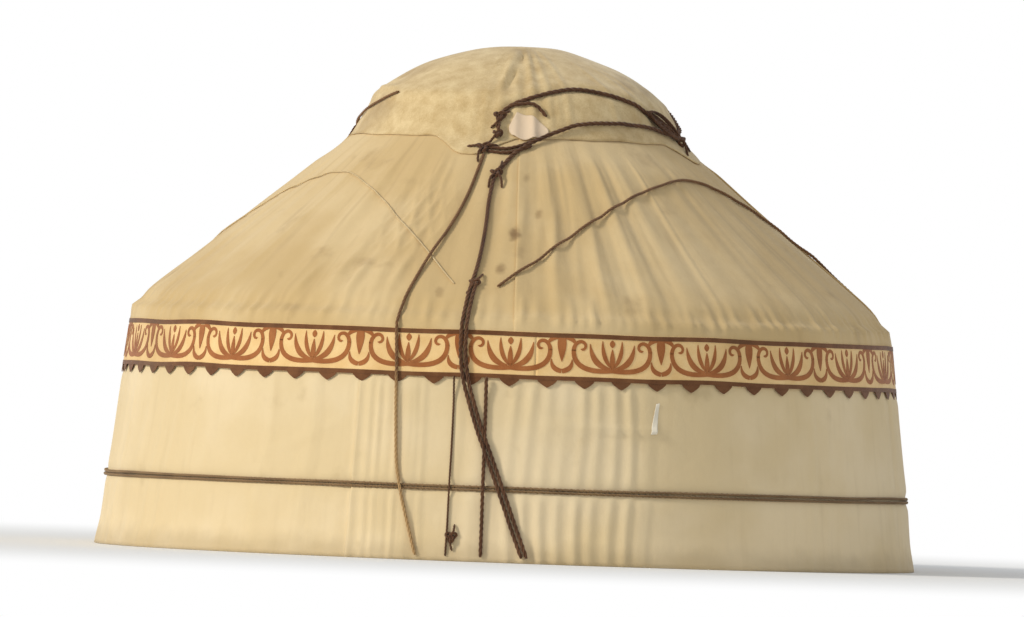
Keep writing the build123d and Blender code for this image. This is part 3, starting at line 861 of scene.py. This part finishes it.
def spline_points(route):
    """Points of a smooth curve that a route's points steer."""
    curve = bpy.data.curves.new("route", "CURVE")
    curve.dimensions = "3D"
    curve.resolution_u = 24
    spline = curve.splines.new("NURBS")
    spline.points.add(len(route) - 1)
    for point, place in zip(spline.points, route):
        point.co = (*place, 1.0)
    spline.order_u = 3
    spline.use_endpoint_u = True
    holder = bpy.data.objects.new("route", curve)
    bpy.context.collection.objects.link(holder)
    shape = bpy.data.meshes.new_from_object(holder.evaluated_get(
        bpy.context.evaluated_depsgraph_get()))
    points = np.array([v.co[:] for v in shape.vertices])
    bpy.data.objects.remove(holder)
    return points


def evenly(points, step):
    """The same line with points an even step apart."""
    reached = steps_along(points)
    stops = np.linspace(0, reached[-1], max(3, int(reached[-1] / step) + 1))
    return np.stack([np.interp(stops, reached, points[:, i]) for i in range(points.shape[1])], 1)


strand_share = 0.56


def twisted(name, centre, radius, lay):
    """A rope of three strands wound round a line, each a tube of five sides."""
    count, sides = 3, 5
    ahead = np.gradient(centre, axis=0)
    ahead /= np.linalg.norm(ahead, axis=1, keepdims=True)
    up = np.array([0.0, 0.0, 1.0])
    side = np.cross(ahead, up)
    flat = np.linalg.norm(side, axis=1) < 0.05
    side[flat] = np.cross(ahead[flat], np.array([1.0, 0.0, 0.0]))
    for i in range(1, len(side)):
        side[i] = side[i - 1] - ahead[i] * np.dot(side[i - 1], ahead[i])
        side[i] /= np.linalg.norm(side[i])
    over = np.cross(ahead, side)
    reached = steps_along(centre)
    thick = radius * strand_share
    close = np.minimum(1, np.minimum(reached, reached[-1] - reached) / (3 * radius) + 0.55)
    points, faces, marks = [], [], []
    for number in range(count):
        turn = 2 * math.pi * (reached / lay + number / count)
        offset = (radius - thick) * close
        line = centre + side * (offset * np.cos(turn))[:, None]
        line += over * (offset * np.sin(turn))[:, None]
        base = len(points)
        for i, spot in enumerate(line):
            for j in range(sides):
                angle = 2 * math.pi * j / sides + turn[i]
                points.append(spot + thick * close[i] * (side[i] * math.cos(angle)
                                                         + over[i] * math.sin(angle)))
                marks.append((j / sides, reached[i]))
        for i in range(len(line) - 1):
            for j in range(sides):
                a, b = base + i * sides + j, base + i * sides + (j + 1) % sides
                faces.append((a, b, b + sides, a + sides))
        faces.append(tuple(base + j for j in reversed(range(sides))))
        faces.append(tuple(base + (len(line) - 1) * sides + j for j in range(sides)))
    piece = new_piece(name, points, faces)
    keep_flat(piece.data, piece.data.uv_layers.new(name="along"), marks)
    clean_up()
    bpy.ops.object.shade_smooth()
    return piece


def finish_rope(name, lengths, hair=None):
    """Joins a rope's lengths and gives it its hair, the dark one where none is named."""
    return trim(join_pieces(name, lengths), hair or dark_rope, smooth_angle=0)


def bridged(lift, spread):
    """A rope's lift off the plain cover, carried across hollows and eased at steps."""
    padded = np.pad(lift, spread, mode="edge")
    highest = np.max([padded[i:i + len(lift)] for i in range(2 * spread + 1)], axis=0)
    padded = np.pad(highest, spread, mode="edge")
    return np.mean([padded[i:i + len(lift)] for i in range(2 * spread + 1)], axis=0)


all_outer_edges = sum(outer_edges.values(), [])
belt_radius = 0.0125
belt_clearance = 0.003
door_gap = door_side(belt_middle) + 0.003
belt_turns = []
for number, rise in enumerate((-belt_radius, belt_radius)):
    azimuth = np.linspace(-door_gap, door_gap, 720)
    height = belt_middle + rise + 0.003 * ripple(azimuth * 8, 0 * azimuth, 81 + number)
    lift = bridged(wall_lap(azimuth, height, all_outer_edges), 3) + belt_radius + belt_clearance
    centre = around(azimuth, wall_radius(height) + lift, height)
    belt_turns.append(twisted("belt_turn", centre, belt_radius, 0.13))
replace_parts(finish_rope("belt_turns", belt_turns, belt_hair), "belt_rope")


# Ropes: the roof is held down by hair ropes that run from knots at the crown, over the band and
# down the wall. They lie on the canvas and bridge its folds.

roof_r, roof_z, roof_out_r, roof_out_z = smooth_line(roof_points, np.linspace(0, roof_length, 600))
crown_run = np.linspace(crown_steps[-1], 0, 600)
crown_r, crown_z, crown_out_r, crown_out_z = smooth_line(crown_points, crown_run)


def rope_bed(azimuth, height):
    """Outermost face of the covers: radius, outward direction and relief."""
    wall_out = 1 / math.hypot(1, wall_lean)
    below = height < eave_bend
    radius = np.where(below, wall_radius(height), np.interp(height, roof_z, roof_r))
    out_r = np.where(below, wall_out, np.interp(height, roof_z, roof_out_r))
    out_z = np.where(below, wall_out * wall_lean, np.interp(height, roof_z, roof_out_z))
    relief = wall_folds(azimuth, height) + wall_lap(azimuth, height, all_outer_edges)
    on_band = (height > band_low - 0.05) & below
    relief = np.where(on_band, skirt_clearance + band_thickness + 0.006, relief)
    roof = roof_relief(azimuth, height, radius)
    for _, seam, _ in quarters[1:]:
        roof = roof + roof_lap(azimuth, height, seam * pitch - roof_lap_width)
    relief = np.where(below, relief, roof)
    on_felt = smooth_step(crown_points[-1][1], crown_points[-3][1] + 0.02, height)
    felt_r, felt_out_r, felt_out_z, felt_run = (
        np.interp(height, crown_z, row) for row in (crown_r, -crown_out_r, -crown_out_z, crown_run))
    out_r = out_r + (felt_out_r - out_r) * on_felt
    out_z = out_z + (felt_out_z - out_z) * on_felt
    relief = relief + (crown_relief(azimuth, felt_run) - relief) * on_felt
    return radius + (felt_r - radius) * on_felt, out_r, out_z, relief


route_radius = 2.7
rope_step = 0.010
belt_crossing = 0.525


def lay_rope(name, route, radius, humps=(), spread=5):
    """A taut rope over the covers, through (place in pole pitches, height) points."""
    flat = spline_points([(place * pitch * route_radius, height, 0) for place, height in route])
    flat = evenly(flat, 0.012)
    azimuth, height = flat[:, 0] / route_radius, flat[:, 1]
    base, out_r, out_z, relief = rope_bed(azimuth, height)
    lifted = relief + radius
    for crossing, amount in humps:
        lifted = lifted + amount * hump(height, crossing, 0.05)
    eased = bridged(lifted, spread)
    centre = around(azimuth, base + out_r * eased, height + out_z * eased)
    return twisted(name, evenly(centre, rope_step), radius, radius * 9)


# Each rope: its route as (place in pole pitches, height), its radius, its lifts over the ropes that
# it crosses as (height, lift), and its hair
ropes = {
    "rope_left_main": ([(-1.36, 2.95), (-1.47, 2.74), (-1.71, 2.45), (-2.09, 2.10), (-2.28, 1.78),
                        (-2.20, 1.40), (-2.12, 0.93), (-2.03, 0.55), (-1.60, 0.03)], 0.0130,
                       [(2.19, 0.012), (belt_crossing, 0.02)], worn_rope),
    "rope_centre_main": ([(-0.78, 2.79), (-0.85, 2.64), (-0.78, 2.43), (-0.80, 2.13),
                          (-0.93, 1.90), (-0.99, 1.41), (-0.60, 0.96), (-0.39, 0.77),
                          (-0.11, 0.49), (0.33, 0.03)], 0.0160,
                         [(0.80, 0.012), (belt_crossing, 0.02)], dark_rope),
    "rope_short_wall": ([(-0.44, 1.33), (-0.42, 0.86), (-0.41, 0.03)], 0.0150,
                        [(belt_crossing, 0.024)], dark_rope),
    "rope_left_wall": ([(-1.06, 1.33), (-1.03, 0.85), (-1.05, 0.03)], 0.0085,
                       [(belt_crossing, 0.024)], dark_rope),
    "rope_right_roof": ([(-0.33, 1.97), (1.13, 2.31), (2.65, 2.54), (4.5, 2.72), (7.5, 2.85),
                         (10.5, 2.60), (12.8, 2.15), (13.5, 1.50), (13.5, 0.03)], 0.0120,
                        [(belt_crossing, 0.024)], worn_rope),
    "rope_left_roof": ([(-1.27, 1.99), (-2.00, 2.20), (-2.88, 2.37), (-4.5, 2.64), (-7.5, 2.85),
                        (-10.5, 2.60), (-12.8, 2.15), (-13.5, 1.50), (-13.5, 0.03)], 0.0065,
                       [(belt_crossing, 0.024)], pale_rope)}
double_start, double_shift = (-0.88, 1.985), 0.095
for node, (route, radius, humps, hair) in ropes.items():
    lengths = [lay_rope(node + "_laid", route, radius, humps)]
    if node == "rope_centre_main":
        doubled = [(place + double_shift, height) for place, height in [double_start] + route[4:]]
        lengths.append(lay_rope("second_length", doubled, radius, humps))
    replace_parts(finish_rope(node + "_laid", lengths, hair), node)

crown_lower = [(-0.68, 2.81), (-0.3, 2.93), (0.22, 3.00), (1.17, 3.08), (2.6, 3.18), (4.0, 3.21),
               (7.0, 3.20), (9.3, 3.118), (10.7, 3.118)]
crown_rope_radius = 0.0170
for node, route in (("crown_rope_upper", crown_upper), ("crown_rope_lower", crown_lower)):
    laid = lay_rope(node + "_laid", route, crown_rope_radius)
    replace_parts(finish_rope(node + "_laid", [laid]), node)

# Short lengths at the crown: a doubled link between the knots, a loop over the patch's corner, and
# the upper rope's end, which comes round from the back and shows along the left shoulder
crown_short = {
    "crown_rope_link": [([(-1.38, 3.000), (-0.75, 2.985), (-0.1, 2.995), (0.62, 3.045)], 0.0140),
                        ([(-1.30, 2.970), (-0.75, 2.958), (-0.1, 2.966), (0.60, 3.015)], 0.0130)],
    "crown_rope_loop": [([(-0.55, 3.30), (0.25, 3.335), (0.95, 3.305), (1.32, 3.235)], 0.0150)],
    "crown_rope_end": [([(-13.9, 3.13), (-11.8, 3.20), (-10.2, 3.27), (-9.0, 3.325),
                         (-7.3, 3.385)], 0.0105)]}
for name, lengths in crown_short.items():
    hair, spread = (worn_rope, 14) if name == "crown_rope_end" else (dark_rope, 5)
    finish_rope(name, [lay_rope(name, route, radius, (), spread) for route, radius in lengths], hair)


# Knots: the ropes meet in bulky hitches at the crown's front corner, and each corner of the crown
# felt is lashed to the lower rope. Short ends hang loose from the hitches.

def cover_spot(place, height, outward):
    """Point on the covers at a place and height, with the directions right, up and out there."""
    azimuth, level = np.array([place * pitch]), np.array([height])
    base, out_r, out_z, relief = rope_bed(azimuth, level)
    reach = relief + outward
    spot = around(azimuth, base + out_r * reach, level + out_z * reach)[0]
    right = np.array([math.cos(place * pitch), math.sin(place * pitch), 0.0])
    out = np.array([out_r[0] * math.sin(place * pitch), -out_r[0] * math.cos(place * pitch),
                    out_z[0]])
    return spot, right, np.cross(out, right), out


def tied(name, route, radius, lay, step=0.006):
    """A short soft length of rope through points in space."""
    return twisted(name, evenly(spline_points(route), step), radius, lay)


def knot(name, place, height, size, tails, rope_radius=0.014):
    """An overhand hitch with loose ends, pulled flat against the cover."""
    spot, right, rise, out = cover_spot(place, height, 1.6 * rope_radius)
    loop = []
    for step in range(13):
        turn = 2 * math.pi * step / 12
        x = (math.sin(turn) + 2 * math.sin(2 * turn)) / 3 * size
        y = (math.cos(turn) - 2 * math.cos(2 * turn)) / 3 * size
        z = -math.sin(3 * turn) * rope_radius * 1.1
        loop.append(spot + right * x + rise * y + out * z)
    pieces = [tied(name, loop, rope_radius, rope_radius * 8)]
    for reach_x, reach_y, bow in tails:
        end_place = place + reach_x / (pitch * max(0.6, np.linalg.norm(spot[:2])))
        end = cover_spot(end_place, height + reach_y, 0.7 * rope_radius)[0]
        half = (spot + end) / 2 + out * rope_radius + right * bow
        tail = [spot, spot + (half - spot) * 0.5 + out * rope_radius, half, end]
        pieces.append(tied(name, tail, rope_radius * 0.75, rope_radius * 6))
    finish_rope(name, pieces)


knot("knot_corner_front", -1.41, 2.99, 0.055, [(-0.13, 0.01, 0.0), (-0.02, -0.10, -0.02),
                                              (0.10, 0.02, 0.02)])
knot("knot_crown_front", -0.9, 3.22, 0.045, [(-0.06, -0.08, 0.03), (0.07, 0.05, 0.02),
                                            (0.02, -0.15, -0.03)])
knot("knot_crown_link", -0.91, 3.08, 0.035, [(-0.07, -0.07, 0.01), (0.0, 0.12, 0.01)])
knot("knot_centre", -0.73, 2.80, 0.045, [(0.05, -0.09, 0.02), (-0.04, -0.10, -0.02),
                                         (0.03, 0.10, 0.02)])
knot("knot_roof_ropes", -0.82, 1.985, 0.042, [(-0.05, -0.07, 0.01), (0.05, 0.08, 0.01)], 0.012)
knot("knot_wall_rope", -0.96, 0.17, 0.044, [(0.02, 0.09, 0.01), (0.01, -0.10, -0.01)], 0.012)
knot("knot_right_corner", 9.6, 3.12, 0.070, [(0.09, -0.09, -0.02), (-0.05, -0.12, 0.02)])
for number, place in enumerate((22, 34)):
    knot("knot_corner_%d" % (number + 1), place, 3.15, 0.055,
         [(-0.10, -0.07, 0.02), (0.08, -0.10, -0.02)])


# Hank: the spare length of the crown ropes, wound into flat turns and hung from the right corner's
# hitch, slanting down over the edge of the felt.

hank_place, hank_height = 8.55, 3.205
crown_reach = 1.12
hank_turns = 5
hank_steps = 14
hank_line = []
for step in range(hank_turns * hank_steps + 1):
    turn = 2 * math.pi * step / hank_steps
    number = step / hank_steps
    along = (0.205 - 0.008 * number) * math.cos(turn)
    across = (0.022 + 0.011 * number) * math.sin(turn) + 0.006 * math.sin(2.3 * number)
    right, up = 0.80 * along + 0.60 * across, -0.52 * along + 0.62 * across
    stand = 0.016 + 0.007 * math.sin(1.9 * number) + 0.004 * number
    hank_line.append(cover_spot(hank_place + right / (pitch * crown_reach), hank_height + up,
                                stand)[0])
finish_rope("knot_right_hank", [tied("knot_right_hank", hank_line, 0.010, 0.09, 0.008)])


# Pale patch: a piece of white cloth sewn over the rubbed edge of the crown felt beside the knots,
# between the two crown ropes.

patch_width, patch_height = 0.31, 0.19
patch_weave_width = 0.30
patch_azimuth, patch_middle = 0.065, 3.155


def patch_surface(across, up):
    """The patch, lying on the crown felt, with worn round corners."""
    x, y = 2 * across - 1, 2 * up - 1
    x, y = x * np.sqrt(1 - 0.36 * y ** 2), y * np.sqrt(1 - 0.36 * x ** 2)
    azimuth = patch_azimuth + 0.115 * x - 0.02 * x * y + 0.006 * np.sin(y * 4)
    height = patch_middle + 0.086 * y - 0.022 * x - 0.024 * x * y + 0.006 * np.sin(x * 5)
    base, out_r, out_z, relief = rope_bed(azimuth, height)
    lift = relief + 0.004 + 0.003 * (1 + ripple(azimuth * 40, height * 30, 91))
    cut = np.stack([across * patch_weave_width, up * patch_height], axis=-1)
    return around(azimuth, base + out_r * lift, height + out_z * lift), cut


patch_cloth = canvas("patch_cloth", paint(220, 194, 160), paint(230, 206, 176),
                     paint(196, 168, 132), 0.60, 0.0, 0.05)
patch = hang_sheet("crown_patch", 36, 24, patch_surface, 0.003, patch_cloth)


# Wall tie: a short strip of white cotton, sewn to the wall canvas by its upper end. It hangs a
# little askew at the end of a crease and serves to tie the canvas up.

tie_width, tie_length = 0.05, 0.225
tie_azimuth, tie_foot = 0.384, 0.955


def tie_surface(across, up):
    """The strip, hanging a little askew with a twist in it."""
    azimuth = tie_azimuth - 0.014 * (1 - up) + 0.0175 * (across - 0.5) * (1 - 0.45 * up)
    height = tie_foot + tie_length * up + 0.004 * across
    stand = 0.006 + 0.006 * np.sin(up * 7) * (across - 0.3)
    radius = wall_radius(height) + wall_folds(azimuth, height) + stand
    cut = np.stack([across * tie_width, up * tie_length], axis=-1)
    return around(azimuth, radius, height), cut


tie_cotton = canvas("tie_cotton", paint(238, 228, 206), paint(246, 238, 220), paint(214, 198, 166),
                    0.66, 0.0, 0.05)
wall_tie = hang_sheet("wall_tie", 6, 30, tie_surface, 0.0025, tie_cotton)


# Door curtain: a felt flap that hangs before the doorway when it is let down. Here it is rolled up
# over the lintel and held against the band by two ties of hair rope.

roll_low, roll_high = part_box("door_flap")
roll_radius = (roll_high.z - roll_low.z) / 2
roll_y = (roll_low.y + roll_high.y) / 2
roll_z = (roll_low.z + roll_high.z) / 2
curtain_thickness = 0.008
curtain_length, curtain_width = 1.45, 1.02
roll_turns = 6.2
tie_place = 0.33


def rolled_surface(across, up):
    """The curtain wound up on itself, with a little sag and uneven ends."""
    turn = 2 * math.pi * roll_turns * across
    radius = 0.010 + (roll_radius - 0.012) * across
    x = (up - 0.5) * (roll_high.x - roll_low.x - 0.03) + 0.010 * np.sin(turn * 0.7)
    dent = 1 - 0.06 * hump(np.abs(x), tie_place, 0.04)
    sag = -0.004 * np.cos(x * 5) + 0.002 * ripple(x * 12, across * 3, 95)
    points = np.stack([x, roll_y + radius * dent * np.cos(turn + 2.0),
                       roll_z + sag + radius * dent * np.sin(turn + 2.0)], axis=-1)
    cut = np.stack([across * curtain_length, up * curtain_width], axis=-1)
    return points, cut


door_felt = felt("door_felt", paint(176, 152, 112), paint(206, 182, 140), paint(136, 112, 82), 90)
roll = hang_sheet("rolled_curtain", 170, 40, rolled_surface, curtain_thickness, door_felt)
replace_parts(roll, "door_flap")

tie_lengths = []
tie_reach = roll_radius * 0.97 + 0.005
for x in (-tie_place, tie_place):
    loop = []
    for step in range(17):
        angle = 2 * math.pi * step / 16
        loop.append((x + 0.008 * math.sin(2 * angle), roll_y + tie_reach * math.cos(angle),
                     roll_z + tie_reach * math.sin(angle)))
    front = roll_y + roll_radius
    end = [(x, front, roll_z - 0.02), (x + 0.02, front + 0.01, roll_z - 0.06),
           (x + 0.03, front, roll_z - 0.13)]
    tie_lengths += [tied("tie", loop, 0.006, 0.05), tied("tie", end, 0.005, 0.05)]
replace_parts(finish_rope("curtain_ties", tie_lengths), "door_ties")


# Floor, light and camera: a pale floor that fades into white, soft light from the left front, and
# the low, level view of the photo, from about a hundred metres away.

bpy.ops.object.select_all(action="DESELECT")
floor_size = 400
floor_gap = 0.002
bpy.ops.mesh.primitive_plane_add(size=floor_size, location=(0, 0, -floor_gap))
floor = bpy.context.object
floor.name = "floor"
ground, tree, place = new_material("pale_floor")
matte = tree.nodes["Principled BSDF"]
matte.inputs["Base Color"].default_value = (0.86, 0.86, 0.85, 1)
matte.inputs["Roughness"].default_value = 1.0
away = add_node(tree, "VectorMath", {0: place["Object"]}, operation="LENGTH").outputs["Value"]
seen = add_node(tree, "LightPath", {}).outputs["Is Camera Ray"]
fading = add_node(tree, "Math", {0: rising(tree, away, 3.4, 12.0, way="SMOOTHSTEP"), 1: seen},
                  operation="MULTIPLY").outputs["Value"]
glow = add_node(tree, "Emission", {}).outputs["Emission"]
shown = add_node(tree, "MixShader", {"Fac": fading, 1: matte.outputs["BSDF"], 2: glow})
tree.links.new(shown.outputs["Shader"], tree.nodes["Material Output"].inputs["Surface"])
floor.data.materials.append(ground)

world = bpy.data.worlds.new("studio")
bpy.context.scene.world = world
world.use_nodes = True
tree = world.node_tree
sky = tree.nodes["Background"]
sky.inputs["Color"].default_value = (0.93, 0.96, 1.0, 1)
sky.inputs["Strength"].default_value = 0.55
white = add_node(tree, "Background", {"Color": (1, 1, 1, 1)}).outputs["Background"]
rays = add_node(tree, "LightPath", {}).outputs
seen = rays["Is Camera Ray"]
for ray in ("Is Glossy Ray", "Is Transmission Ray"):
    seen = add_node(tree, "Math", {0: seen, 1: rays[ray]}, operation="MAXIMUM").outputs["Value"]
shown = add_node(tree, "MixShader", {"Fac": seen, 1: sky.outputs["Background"], 2: white})
tree.links.new(shown.outputs["Shader"], tree.nodes["World Output"].inputs["Surface"])

sun_tilt, sun_turn = math.radians(62), math.radians(-62)
bpy.ops.object.light_add(type="SUN", rotation=(sun_tilt, 0, sun_turn))
sun = bpy.context.object
sun.data.energy = 2.0
sun.data.angle = math.radians(12)
sun.data.color = (1.0, 0.95, 0.86)

camera_distance = 100.0
camera_height = 1.4
aim_height = 1.84
camera_roll = math.radians(2.1)
bpy.ops.object.camera_add(location=(0, -camera_distance, camera_height))
camera = bpy.context.object
camera.data.lens = 475
look = Vector((0, 0, aim_height)) - camera.location
camera.rotation_euler = look.to_track_quat("-Z", "Y").to_euler()
camera.rotation_euler.rotate_axis("Z", camera_roll)
camera.data.clip_end = 500
bpy.context.scene.camera = camera
bpy.context.scene.view_settings.view_transform = "Standard"
